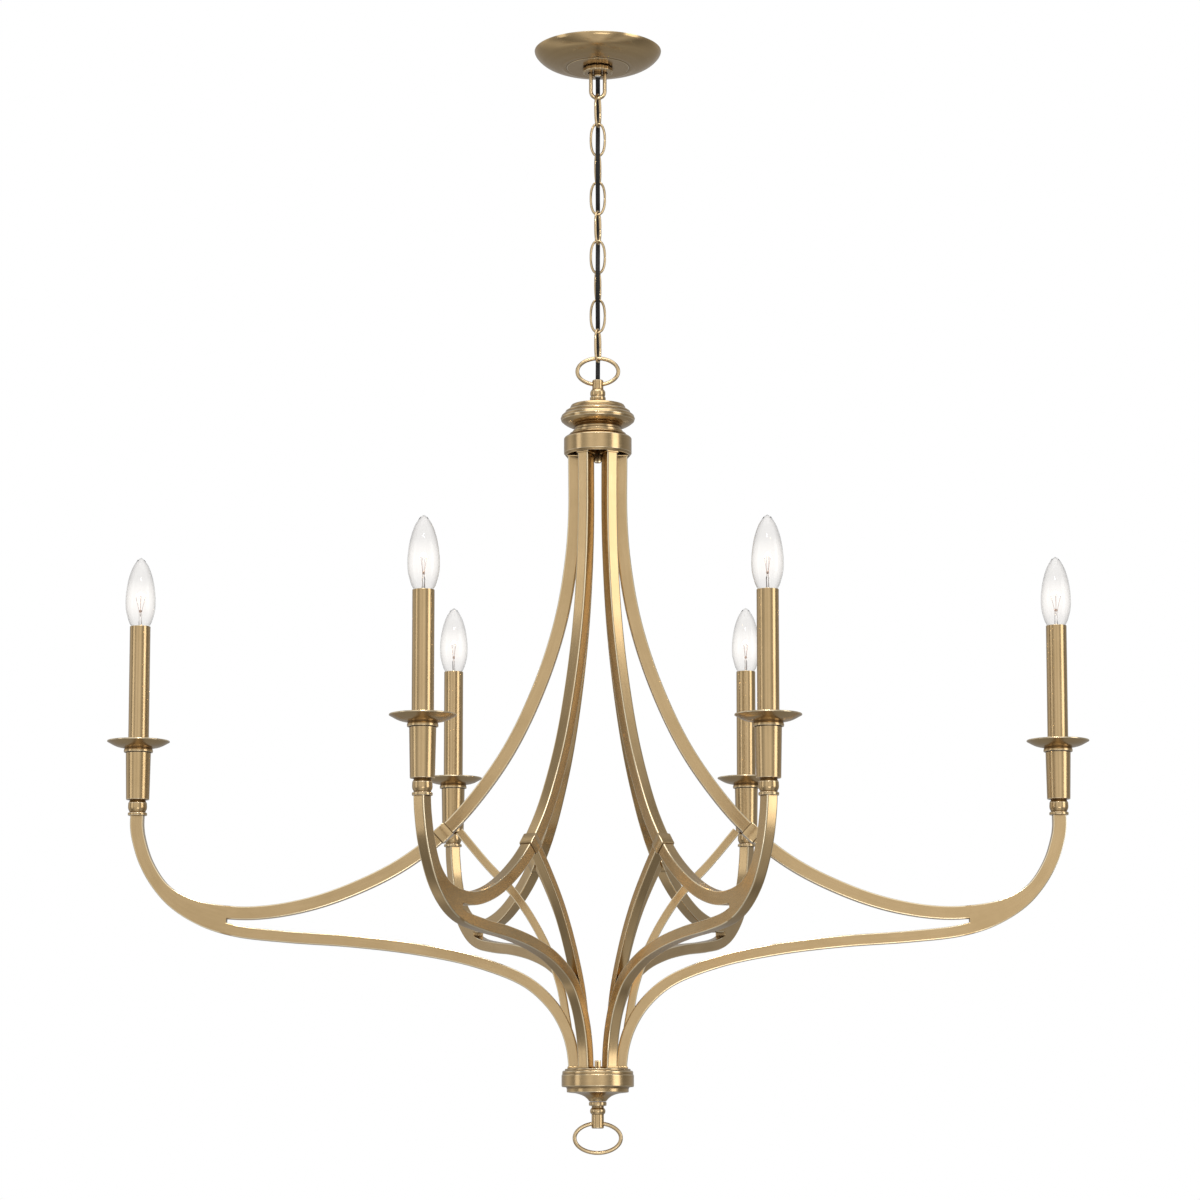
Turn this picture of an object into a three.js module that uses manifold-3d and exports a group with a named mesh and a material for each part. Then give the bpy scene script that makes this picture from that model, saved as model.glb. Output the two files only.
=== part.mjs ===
// Six arm candle chandelier on a chain. Millimetres, +Z up, ceiling plane at z = 0, axis on Z.
import * as THREE from 'three';
import { mergeVertices } from 'three/addons/utils/BufferGeometryUtils.js';
import Module from 'manifold-3d';

const wasm = await Module();
wasm.setup();

// ---- driving dimensions ----
const GAP = 0.3;                 // clearance between neighbouring pieces
const LONG_REACH = 490;          // axis to candle, left and right arms
const SHORT_REACH = 338;         // axis to candle, the four front and back arms
const LONG_RIM_Z = -756.5;       // drip dish rim, long arms
const SHORT_RIM_Z = -765;        // drip dish rim, short arms
const HUB_BAR_R = 25;            // axis to bar centre where the bars meet the hubs
const BAR_WIDTH = 12.4;          // square bar, across the arm's plane
const UPPER_BAR = 14;            // upper bar depth in the arm's plane
const LOWER_BAR = 12.2;
const BRACE_BAR = 8.6;
const BAR_TOP_Z = -438;          // bar ends inside the upper drum
const BAR_BOTTOM_Z = -1104.8;     // bar ends on the lower hub plate
const SLEEVE_HEIGHT = 123;       // visible candle sleeve above the dish rim
const LINK = { count: 9, wire: 1.35, halfWidth: 7.6, inner: 32.9, turn: 70 };
const LOOP_WIRE = 2.1;
const LOOP_HALF = 7.5;
const LOOP_FLOOR_Z = -50.5;      // upper surface of the canopy loop's bottom bend
const TOP_RING = { z: -355.9, a: 22.1, b: 14.4, wire: 2.1 };
const END_RING = { z: -1178, a: 24.4, b: 15.5, wire: 2.1 };
const CORD_R = 2.4;

// ---- materials ----
const metal = (name, color, roughness) =>
  new THREE.MeshStandardMaterial({ name, color, metalness: 1, roughness });
const MATERIALS = {
  brass: metal('brass', 0xb0925a, 0.35),
  steel: metal('steel', 0x9a9a98, 0.45),
  socket: new THREE.MeshStandardMaterial({ name: 'socket', color: 0x1c1a18, roughness: 0.6 }),
  cord: new THREE.MeshStandardMaterial({ name: 'cord', color: 0x14120f, roughness: 0.8 }),
  glass: new THREE.MeshStandardMaterial({
    name: 'glass', color: 0xf6f4ee, roughness: 0.05, transparent: true, opacity: 0.35,
  }),
};

const group = new THREE.Group();

// ---- helpers ----
function add(name, geometry, material) {
  const mesh = new THREE.Mesh(geometry, MATERIALS[material].clone());
  mesh.name = name;
  group.add(mesh);
  return mesh;
}

function weld(geometry) {
  const bare = geometry.clone();
  bare.deleteAttribute('normal');
  bare.deleteAttribute('uv');
  return mergeVertices(bare, 1e-4);
}

function toManifold(geometry) {
  const welded = weld(geometry);
  return new wasm.Manifold(new wasm.Mesh({
    numProp: 3,
    vertProperties: new Float32Array(welded.attributes.position.array),
    triVerts: new Uint32Array(welded.index.array),
  }));
}

function fromManifold(solid) {
  const mesh = solid.getMesh();
  const geometry = new THREE.BufferGeometry();
  geometry.setAttribute('position', new THREE.BufferAttribute(mesh.vertProperties, 3));
  geometry.setIndex(new THREE.BufferAttribute(mesh.triVerts, 1));
  geometry.computeVertexNormals();
  return geometry;
}

const union = (parts) => fromManifold(wasm.Manifold.union(parts.map(toManifold)));
const subtract = (body, tools) =>
  fromManifold(toManifold(body).subtract(wasm.Manifold.union(tools.map(toManifold))));

// Profile points are [radius, z], listed so that the solid lies inside the turned outline.
function turned(profile, segments) {
  const points = profile.map(([r, z]) => new THREE.Vector2(r, z));
  return new THREE.LatheGeometry(points, segments).rotateX(Math.PI / 2);
}

function cylinder(radius, low, high, segments) {
  return turned([[0, low], [radius, low], [radius, high], [0, high]], segments);
}

function circle(radius, sides) {
  const shape = new THREE.Shape();
  for (let i = 0; i < sides; i += 1) {
    const a = (2 * Math.PI * (i + 0.5)) / sides;
    const [x, y] = [radius * Math.cos(a), radius * Math.sin(a)];
    if (i === 0) shape.moveTo(x, y);
    else shape.lineTo(x, y);
  }
  shape.closePath();
  return shape;
}

function wireAlong(curve, radius, steps, sides) {
  return new THREE.ExtrudeGeometry(circle(radius, sides), { steps, extrudePath: curve });
}

// ---- ceiling mount ----
function crossbar() {
  const plate = new THREE.Shape();
  plate.moveTo(-52, -11);
  plate.lineTo(52, -11);
  plate.absarc(52, 0, 11, -Math.PI / 2, Math.PI / 2, false);
  plate.lineTo(-52, 11);
  plate.absarc(-52, 0, 11, Math.PI / 2, (3 * Math.PI) / 2, false);
  const bore = (x, r) => {
    const hole = new THREE.Path();
    hole.absarc(x, 0, r, 0, 2 * Math.PI, true);
    return hole;
  };
  plate.holes.push(bore(0, 4.6), bore(-44, 2.6), bore(44, 2.6));
  return new THREE.ExtrudeGeometry(plate, { depth: 2, bevelEnabled: false, curveSegments: 6 })
    .translate(0, 0, -2);
}

function nipple() {
  return turned([[2.9, -30], [3.9, -30], [3.9, -5.5], [6.2, -5.5], [6.2, -2 - GAP],
    [4.05, -2 - GAP], [4.05, -GAP], [2.9, -GAP], [2.9, -30]], 16);
}

function canopy() {
  const outer = [[13, -19], [38, -19], [39.5, -18], [50, -15.8], [60, -11], [66.5, -5],
    [69, 0]];
  const inner = [[67.6, 0], [65, -4.6], [58.6, -10], [48.6, -14.5], [38, -17.4], [13, -17.4]];
  return turned([...outer, ...inner, outer[0]], 30);
}

function collarRing() {
  const ring = turned([[10.8, -25], [15.2, -25], [16.4, -24], [16.4, -20.3], [15.4, -19 - GAP],
    [10.8, -19 - GAP], [10.8, -25]], 24);
  const notches = [];
  for (let i = 0; i < 12; i += 1) {
    const a = (2 * Math.PI * (i + 0.5)) / 12;
    notches.push(cylinder(0.9, -26, -18, 6)
      .translate(16.7 * Math.cos(a), 16.7 * Math.sin(a), 0));
  }
  return subtract(ring, notches);
}

function canopyLoop() {
  const neck = turned([[4.4, -24], [9.4, -24], [9.4, -8], [4.4, -8], [4.4, -24]], 20);
  const bend = LOOP_FLOOR_Z - LOOP_WIRE + LOOP_HALF;
  const steps = 10;
  const points = [];
  for (let i = 0; i <= steps; i += 1) {
    const a = Math.PI + (Math.PI * i) / steps;
    points.push(new THREE.Vector3(LOOP_HALF * Math.cos(a), 0, bend + LOOP_HALF * Math.sin(a)));
  }
  const curve = new PolyCurve([new THREE.Vector3(-LOOP_HALF, 0, -20), ...points,
    new THREE.Vector3(LOOP_HALF, 0, -20)]);
  return union([neck, wireAlong(curve, LOOP_WIRE, curve.steps, 8)]);
}

// Straight runs between given points, sampled at exactly those points.
class PolyCurve extends THREE.Curve {
  constructor(points) {
    super();
    this.points = points;
    this.steps = points.length - 1;
  }

  getPoint(t, target = new THREE.Vector3()) {
    const s = Math.min(t, 1) * this.steps;
    const i = Math.min(Math.floor(s), this.steps - 1);
    return target.lerpVectors(this.points[i], this.points[i + 1], s - i);
  }

  getPointAt(u, target) {
    return this.getPoint(u, target);
  }
}

// ---- chain, cord and rings ----
// A closed wire swept round a flat loop given as [across, z] points.
function wireLoop(points, radius, sides) {
  const n = points.length;
  const positions = [];
  const index = [];
  for (let i = 0; i < n; i += 1) {
    const before = points[(i + n - 1) % n];
    const after = points[(i + 1) % n];
    const length = Math.hypot(after[0] - before[0], after[1] - before[1]);
    const normal = [(after[1] - before[1]) / length, -(after[0] - before[0]) / length];
    for (let j = 0; j < sides; j += 1) {
      const a = (2 * Math.PI * (j + 0.5)) / sides;
      const out = radius * Math.cos(a);
      positions.push(points[i][0] + normal[0] * out, radius * Math.sin(a),
        points[i][1] + normal[1] * out);
      const next = (j + 1) % sides;
      const row = i * sides;
      const ahead = ((i + 1) % n) * sides;
      index.push(row + j, row + next, ahead + j, row + next, ahead + next, ahead + j);
    }
  }
  const geometry = new THREE.BufferGeometry();
  geometry.setAttribute('position', new THREE.Float32BufferAttribute(positions, 3));
  geometry.setIndex(index);
  return geometry;
}

function linkPoints(halfWidth, halfStraight, arcSteps) {
  const points = [];
  for (const side of [1, -1]) {
    for (let i = 0; i <= arcSteps; i += 1) {
      const a = (Math.PI * i) / arcSteps;
      points.push([side * halfWidth * Math.cos(a), side * (halfStraight + halfWidth * Math.sin(a))]);
    }
  }
  return points;
}

const linkPitch = LINK.inner - GAP;
const linkTop = (k) => LOOP_FLOOR_Z + GAP - (k - 1) * linkPitch;   // inner top of link k

function chainLink(k) {
  const halfStraight = LINK.inner / 2 + LINK.wire - LINK.halfWidth;
  const turn = k % 2 ? THREE.MathUtils.degToRad(LINK.turn) : 0;
  return wireLoop(linkPoints(LINK.halfWidth, halfStraight, 6), LINK.wire, 6)
    .rotateZ(turn)
    .translate(0, 0, linkTop(k) - LINK.inner / 2);
}

function ovalPoints({ z, a, b }, count) {
  const points = [];
  for (let i = 0; i < count; i += 1) {
    const t = (2 * Math.PI * (i + 0.5)) / count;
    points.push([a * Math.cos(t), z + b * Math.sin(t)]);
  }
  return points;
}

function ovalRing(ring, extra) {
  return wireLoop(ovalPoints(ring, 26), ring.wire + extra, 6);
}

function supplyCord() {
  const swing = 13;
  const points = [new THREE.Vector3(0, 0, -12), new THREE.Vector3(0, 0, -28), new THREE.Vector3(0, 0, -32),
    new THREE.Vector3(0, 4.5, -40), new THREE.Vector3(0, 11.5, -53)];
  for (let k = 1; k <= LINK.count; k += 1) {
    const middle = linkTop(k) - LINK.inner / 2;
    if (k % 2 === 0) points.push(new THREE.Vector3(0, 0, middle));
    else {
      const y = k % 4 === 1 ? swing : -swing;
      if (k > 1) points.push(new THREE.Vector3(0, y * 0.96, middle + 12));
      points.push(new THREE.Vector3(0, y, middle));
      if (k < LINK.count) points.push(new THREE.Vector3(0, y * 0.96, middle - 12));
    }
  }
  points.push(new THREE.Vector3(0, 9, -346), new THREE.Vector3(0, 1.2, -357),
    new THREE.Vector3(0, 0, -361), new THREE.Vector3(0, 0, -365));
  const curve = new THREE.CatmullRomCurve3(points, false, 'centripetal');
  return wireAlong(curve, CORD_R, 54, 8);
}

function ringHolder() {
  const post = turned([[0, -391.5], [12.6, -391.5], [12.2, -390.6], [9.6, -389.2], [8.2, -388],
    [8.5, -387], [8.5, -384.6], [7.4, -383.8], [8.1, -381.8], [8.1, -378.4], [6.9, -376.4],
    [6, -375.8], [6, -366.2], [5.2, -365.4], [0, -365.4]], 20);
  return subtract(post, [ovalRing(TOP_RING, 0.6)]);
}

// ---- turned hubs ----
function upperCap() {
  return turned([[0, -424], [27, -424], [27, -421.5], [25, -420.6], [25, -418], [29.5, -416.4],
    [35.5, -413.4], [39.2, -410.4], [40, -407.6], [38.8, -404.6], [36, -402.4], [35.2, -402],
    [34.8, -400], [31.4, -398], [30.2, -397.4], [29.6, -395.2], [28.6, -393.4], [15, -391.8],
    [0, -391.8]], 24);
}

function upperHub() {
  return turned([[0, -436], [33.4, -436], [33.4, -448.4], [34.6, -448.2], [36.4, -445.8],
    [36.4, -430], [35.6, -428.8], [31, -426.2], [30.2, -424.3], [0, -424.3]], 24);
}

function lowerHub() {
  return turned([[0, -1139.6], [9, -1139.6], [10.6, -1137.4], [14.4, -1134.2], [22, -1131.4],
    [30, -1130.4], [32.6, -1130], [32.8, -1126], [33.6, -1124.8], [37.6, -1124.4], [38.2, -1123.4],
    [38.2, -1112.2], [37.4, -1111], [37.4, -1108.4], [36.6, -1107.4], [34.6, -1107.2],
    [34.6, -1105.4], [0, -1105.4]], 24);
}

function hexNut(low, high, radius) {
  return new THREE.CylinderGeometry(radius, radius, high - low, 6)
    .rotateX(Math.PI / 2).translate(0, 0, (low + high) / 2);
}

function finialPost() {
  const post = turned([[0, -1168], [5.6, -1168], [6.5, -1167], [6.5, -1153], [7.4, -1152.4],
    [8.1, -1150.6], [8.1, -1148.4], [7, -1146.8], [6.3, -1146], [6.3, -1144.6], [9.2, -1144],
    [9.4, -1140.8], [8.6, -1139.9], [0, -1139.9]], 20);
  return subtract(post, [ovalRing(END_RING, 0.9)]);
}

// ---- arms ----
const UPPER_PATH = [[25, BAR_TOP_Z], [25, -520], [29.5, -572], [40.3, -631], [60.7, -695],
  [90.5, -760], [122, -808], [158, -850], [204, -887], [256, -914], [308, -932], [360, -940.5],
  [398, -939.5], [432, -932.5], [460, -916.5], [479, -889], [488, -862], [490, -849], [490, -838]];
const LOWER_PATH = [[25, BAR_BOTTOM_Z], [25.2, -1099], [27.6, -1082], [34, -1062], [48, -1038.5], [75, -1014],
  [127, -993], [190, -979.5], [260, -971], [330, -966], [385, -959.5], [420, -948.5],
  [452, -928], [474, -900.5], [486, -873], [490, -852]];
const LONG_BRACE = [[147, -854], [117.7, -889], [88, -921], [66, -954], [49.5, -988], [39, -1020],
  [33.5, -1050], [30, -1072]];
const SHORT_BRACE = [[130, -878], [106, -905], [84, -933], [66, -962], [51.5, -992], [40, -1022],
  [33.5, -1050], [30, -1072]];

// Squeezes a path of the long arm radially onto a shorter reach, the hub end held.
function reachTo(path, reach) {
  const k = (reach - HUB_BAR_R) / (LONG_REACH - HUB_BAR_R);
  return path.map(([r, z]) => [HUB_BAR_R + (r - HUB_BAR_R) * k, z]);
}

function smooth(path, steps) {
  const curve = new THREE.CatmullRomCurve3(
    path.map(([r, z]) => new THREE.Vector3(r, z, 0)), false, 'centripetal');
  return curve.getPoints(steps);
}

// A flat bar of constant depth along a path in the (r, z) plane, standing on the XZ plane.
function flatBar(path, depth, width, steps) {
  const points = smooth(path, steps);
  const sides = [1, -1].map((side) => points.map((p, i) => {
    const a = points[Math.max(i - 1, 0)];
    const b = points[Math.min(i + 1, points.length - 1)];
    const length = Math.hypot(b.x - a.x, b.y - a.y);
    const h = (side * depth) / 2 / length;
    return new THREE.Vector2(p.x - (b.y - a.y) * h, p.y + (b.x - a.x) * h);
  }));
  const shape = new THREE.Shape([...sides[0], ...sides[1].reverse()]);
  return new THREE.ExtrudeGeometry(shape, { depth: width, bevelEnabled: false })
    .translate(0, 0, -width / 2)
    .rotateX(Math.PI / 2);
}

// A short band wrapped round the upper bar where the brace starts.
function clasp(path, at) {
  const points = smooth(path, 200);
  const i = points.findIndex((p) => p.y < at);
  const slope = Math.atan2(points[i + 1].y - points[i - 1].y, points[i + 1].x - points[i - 1].x);
  return new THREE.BoxGeometry(13, BAR_WIDTH + 2.6, UPPER_BAR + 2.6)
    .rotateY(-slope)
    .translate(points[i].x, 0, points[i].y);
}

function arm(reach, stemTop, brace, claspZ) {
  const upper = reachTo(UPPER_PATH, reach).map(([r, z], i, all) =>
    (i === all.length - 1 ? [r, stemTop] : [r, z]));
  const lower = reachTo(LOWER_PATH, reach);
  return union([
    flatBar(upper, UPPER_BAR, BAR_WIDTH, 30),
    flatBar(lower, LOWER_BAR, BAR_WIDTH, 25),
    flatBar(brace, BRACE_BAR, BAR_WIDTH - 1.2, 10),
    clasp(upper, claspZ),
  ]);
}

// ---- candles: every profile is measured from the dish rim ----
const CUP = [[0, -80.2], [10.2, -80.2], [10.2, -77.6], [8.4, -76.4], [9.9, -73],
  [9.9, -67], [8.2, -64], [12.3, -63.2], [13.3, -13], [11.4, -13], [11.4, -60], [0, -60]];
const DISH = [[11.4, -12.6], [15.4, -12.6], [15.4, -10.4], [14.6, -8.2], [24, -6],
  [33.3, -1.2], [33, 0], [27, -2.8], [20, -4.8], [11.4, -6], [11.4, -12.6]];
const SLEEVE = [[10, -59.6], [10.95, -59.6], [10.95, SLEEVE_HEIGHT], [10, SLEEVE_HEIGHT],
  [10, -59.6]];
const SOCKET = [[0, 72], [9.2, 72], [9.2, 117], [7.2, 117], [7.2, 88], [0, 88]];
const BULB = [[0, 91], [6.3, 94], [6.3, 116], [9.2, 123], [11.7, 127], [13.8, 133.5],
  [15.5, 141], [16, 150], [15.2, 162], [12.6, 176], [8.3, 188], [3.6, 195], [0, 197.5]];

function candle(k, x, y, rimZ) {
  const stand = (name, profile, segments, material) =>
    add(`${name}_${k}`, turned(profile, segments).translate(x, y, rimZ), material);
  stand('candle_cup', CUP, 12, 'brass');
  stand('drip_dish', DISH, 16, 'brass');
  stand('candle_sleeve', SLEEVE, 12, 'brass');
  stand('lamp_socket', SOCKET, 10, 'socket');
  stand('bulb', BULB, 12, 'glass');
}

// ---- assembly ----
add('ceiling_crossbar', crossbar(), 'steel');
add('mounting_nipple', nipple(), 'steel');
add('canopy_loop', canopyLoop(), 'brass');
add('canopy', canopy(), 'brass');
add('canopy_collar_ring', collarRing(), 'brass');
for (let k = 1; k <= LINK.count; k += 1) add(`chain_link_${k}`, chainLink(k), 'brass');
add('supply_cord', supplyCord(), 'cord');
add('hanger_ring', ovalRing(TOP_RING, 0), 'brass');
add('ring_holder', ringHolder(), 'brass');
add('upper_cap', upperCap(), 'brass');
add('upper_hub', upperHub(), 'brass');
add('upper_hub_nut', hexNut(-456, -436 - GAP, 4), 'brass');
add('lower_hub', lowerHub(), 'brass');
add('lower_hub_nut', hexNut(-1105.4 + GAP, -1096.5, 3.8), 'brass');
add('finial_post', finialPost(), 'brass');
add('finial_ring', ovalRing(END_RING, 0), 'brass');

for (let k = 1; k <= 6; k += 1) {
  const isLong = k % 3 === 1;
  const reach = isLong ? LONG_REACH : SHORT_REACH;
  const rimZ = isLong ? LONG_RIM_Z : SHORT_RIM_Z;
  const turn = ((k - 1) * Math.PI) / 3;
  const brace = isLong ? LONG_BRACE : SHORT_BRACE;
  const frame = arm(reach, rimZ - 80.2 - GAP, brace, isLong ? -850 : -873);
  add(`arm_${k}`, frame.rotateZ(turn), 'brass');
  candle(k, reach * Math.cos(turn), reach * Math.sin(turn), rimZ);
}

export default group;
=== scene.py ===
"""Six arm candle chandelier on a chain: camera, light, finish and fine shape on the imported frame."""

import math

import bpy
from mathutils import Matrix, Vector


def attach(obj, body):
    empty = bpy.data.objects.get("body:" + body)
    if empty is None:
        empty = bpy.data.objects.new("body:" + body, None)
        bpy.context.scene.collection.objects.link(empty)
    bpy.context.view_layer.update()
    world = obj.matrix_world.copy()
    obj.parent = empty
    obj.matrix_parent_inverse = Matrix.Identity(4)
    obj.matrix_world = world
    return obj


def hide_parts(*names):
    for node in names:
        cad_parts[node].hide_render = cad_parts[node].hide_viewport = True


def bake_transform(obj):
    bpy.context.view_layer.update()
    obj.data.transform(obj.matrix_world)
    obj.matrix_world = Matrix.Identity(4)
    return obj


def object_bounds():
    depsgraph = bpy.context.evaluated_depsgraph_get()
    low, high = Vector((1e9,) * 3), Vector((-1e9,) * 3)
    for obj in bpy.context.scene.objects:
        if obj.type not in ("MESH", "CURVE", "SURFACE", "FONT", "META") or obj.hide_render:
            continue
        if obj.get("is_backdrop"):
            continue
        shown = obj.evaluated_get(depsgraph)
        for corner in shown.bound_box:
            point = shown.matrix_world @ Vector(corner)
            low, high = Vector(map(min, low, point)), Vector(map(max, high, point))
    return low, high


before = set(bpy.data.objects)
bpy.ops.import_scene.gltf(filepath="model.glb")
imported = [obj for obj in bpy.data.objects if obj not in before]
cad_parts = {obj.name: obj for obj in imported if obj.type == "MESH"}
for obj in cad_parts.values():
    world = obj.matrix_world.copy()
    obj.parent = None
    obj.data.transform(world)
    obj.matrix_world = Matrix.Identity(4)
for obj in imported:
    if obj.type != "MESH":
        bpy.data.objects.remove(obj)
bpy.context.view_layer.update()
scene = bpy.context.scene
MM = 0.001

# ---- dimensions in millimetres, shared with the part ----
LONG_REACH, SHORT_REACH = 490, 338
LONG_RIM_Z, SHORT_RIM_Z = -756.5, -765
HUB_BAR_R = 25
BAR_WIDTH, UPPER_BAR, LOWER_BAR, BRACE_BAR = 12.4, 14, 12.2, 8.6
BAR_TOP_Z, BAR_BOTTOM_Z = -438, -1104.8
FORK_GAP = UPPER_BAR / 2 + 4.5
LINK_COUNT, LINK_WIRE, LINK_HALF, LINK_INNER, LINK_TURN = 9, 1.35, 7.6, 32.9, 70
LOOP_WIRE, LOOP_HALF, LOOP_FLOOR_Z = 2.1, 7.5, -50.5
TOP_RING_Z, TOP_RING_A, TOP_RING_B = -355.9, 22.1, 14.4
END_RING_Z, END_RING_A, END_RING_B = -1178, 24.4, 15.5
RING_WIRE = 2.1
CORD_R = 2.4
LINK_PITCH = LINK_INNER - 0.3
CANDLE_DROP = 80.5
CLASP_LENGTH, CLASP_OVER = 14.6, 2.6
SEAM_LENGTH, SEAM_OVER = 16.4, 0.7
STRAP_HALF, STRAP_END_R = 52, 11


def link_top(k):
    return LOOP_FLOOR_Z + 0.3 - (k - 1) * LINK_PITCH


def link_middle(k):
    return link_top(k) - LINK_INNER / 2


# ---- camera ----
LENS_MM, LENS_SHIFT = 99.7, 0.147
CAMERA_AT = (0.027, -3.518, -1.173)
CAMERA_TILT, CAMERA_TURN = 0.107, 0.007


def make_camera():
    data = bpy.data.cameras.new("camera")
    data.sensor_width = 36
    data.lens = LENS_MM
    data.shift_y = LENS_SHIFT
    cam = bpy.data.objects.new("camera", data)
    cam.location = CAMERA_AT
    cam.rotation_euler = (math.pi / 2 + CAMERA_TILT, 0, CAMERA_TURN)
    scene.collection.objects.link(cam)
    scene.camera = cam


make_camera()


# ---- outlines and curves ----
GENTLE_TURN, SHARP_EDGE = 27, 38  # degrees


def hermite(p, q, tp, tq, count):
    """Points strictly between p and q on a cubic that leaves along tp and arrives along tq."""
    size = (q - p).length
    points = []
    for i in range(1, count):
        t = i / count
        a, b = 2 * t**3 - 3 * t**2 + 1, t**3 - 2 * t**2 + t
        c, d = -2 * t**3 + 3 * t**2, t**3 - t**2
        points.append(p * a + tp * (size * b) + q * c + tq * (size * d))
    return points


def soften(outline, radius):
    """Fairs the gentle turns of an outline and rounds its corners.

    Gives [x, y, edge] points, where edge is 1 on an outside corner and -1 in an inside one."""
    pts = [Vector(p) for p in outline]
    closed = (pts[0] - pts[-1]).length < 1e-6
    if closed:
        pts = pts[:-1]
    n = len(pts)
    nodes = []
    for i, p in enumerate(pts):
        if not closed and i in (0, n - 1):
            q = pts[1] if i == 0 else pts[-2]
            d = (q - p if i == 0 else p - q).normalized()
            nodes.append((p, d, d, 0.0, []))
            continue
        before, after = pts[i - 1], pts[(i + 1) % n]
        d1, d2 = (p - before).normalized(), (after - p).normalized()
        turn = math.degrees(math.atan2(d1.x * d2.y - d1.y * d2.x, d1.dot(d2)))
        if abs(turn) < GENTLE_TURN:
            d = (d1 + d2).normalized()
            nodes.append((p, d, d, 0.0, []))
            continue
        cut = radius * math.tan(math.radians(abs(turn)) / 2)
        cut = min(cut, 0.4 * (p - before).length, 0.4 * (after - p).length)
        start, end = p - d1 * cut, p + d2 * cut
        arc = [start * (1 - t) ** 2 + p * (2 * t * (1 - t)) + end * t**2 for t in (0.3, 0.7)]
        nodes.append((start, d1, d2, 1.0 if turn > 0 else -1.0, [*arc, end]))
    out = []
    count = len(nodes)
    for i, (p, d_in, d_out, edge, arc) in enumerate(nodes):
        out.append((p.x, p.y, edge * 0.6))
        last = p
        for j, q in enumerate(arc):
            out.append((q.x, q.y, edge * (0.6 if j == len(arc) - 1 else 1.0)))
            last = q
        if not closed and i == count - 1:
            break
        q, q_in = nodes[(i + 1) % count][0], nodes[(i + 1) % count][1]
        chord = q - last
        if chord.length < 1e-6:
            continue
        bend = max(d_out.angle(chord, 0), q_in.angle(chord, 0))
        if bend > 0.03:
            steps = max(3, min(6, int(chord.length / 1.2)))
            out += [(v.x, v.y, 0.0) for v in hermite(last, q, d_out, q_in, steps)]
        elif chord.length > 2.4:
            for v in (last + chord.normalized() * 0.8, q - chord.normalized() * 0.8):
                out.append((v.x, v.y, 0.0))
        elif chord.length > 0.7:
            v = (last + q) / 2
            out.append((v.x, v.y, 0.0))
    if closed:
        out.append(out[0])
    return out


def catmull(points, steps):
    """Centripetal spline through points, steps samples per span."""
    pts = [Vector(p) for p in points]
    ends = [pts[0] * 2 - pts[1], *pts, pts[-1] * 2 - pts[-2]]
    out = []
    for i in range(1, len(ends) - 2):
        p0, p1, p2, p3 = ends[i - 1 : i + 3]
        t0, t1, t2 = ((b - a).length ** 0.5 for a, b in ((p0, p1), (p1, p2), (p2, p3)))
        m1 = (p2 - p1 + ((p1 - p0) / t0 - (p2 - p0) / (t0 + t1)) * t1) / t1
        m2 = (p2 - p1 + ((p3 - p2) / t2 - (p3 - p1) / (t1 + t2)) * t1) / t1
        m1, m2 = m1 * t1, m2 * t1
        for j in range(steps):
            t = j / steps
            out.append(p1 * (2 * t**3 - 3 * t**2 + 1) + m1 * (t**3 - 2 * t**2 + t)
                       + p2 * (-2 * t**3 + 3 * t**2) + m2 * (t**3 - t**2))
    out.append(ends[-2])
    return out


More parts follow.
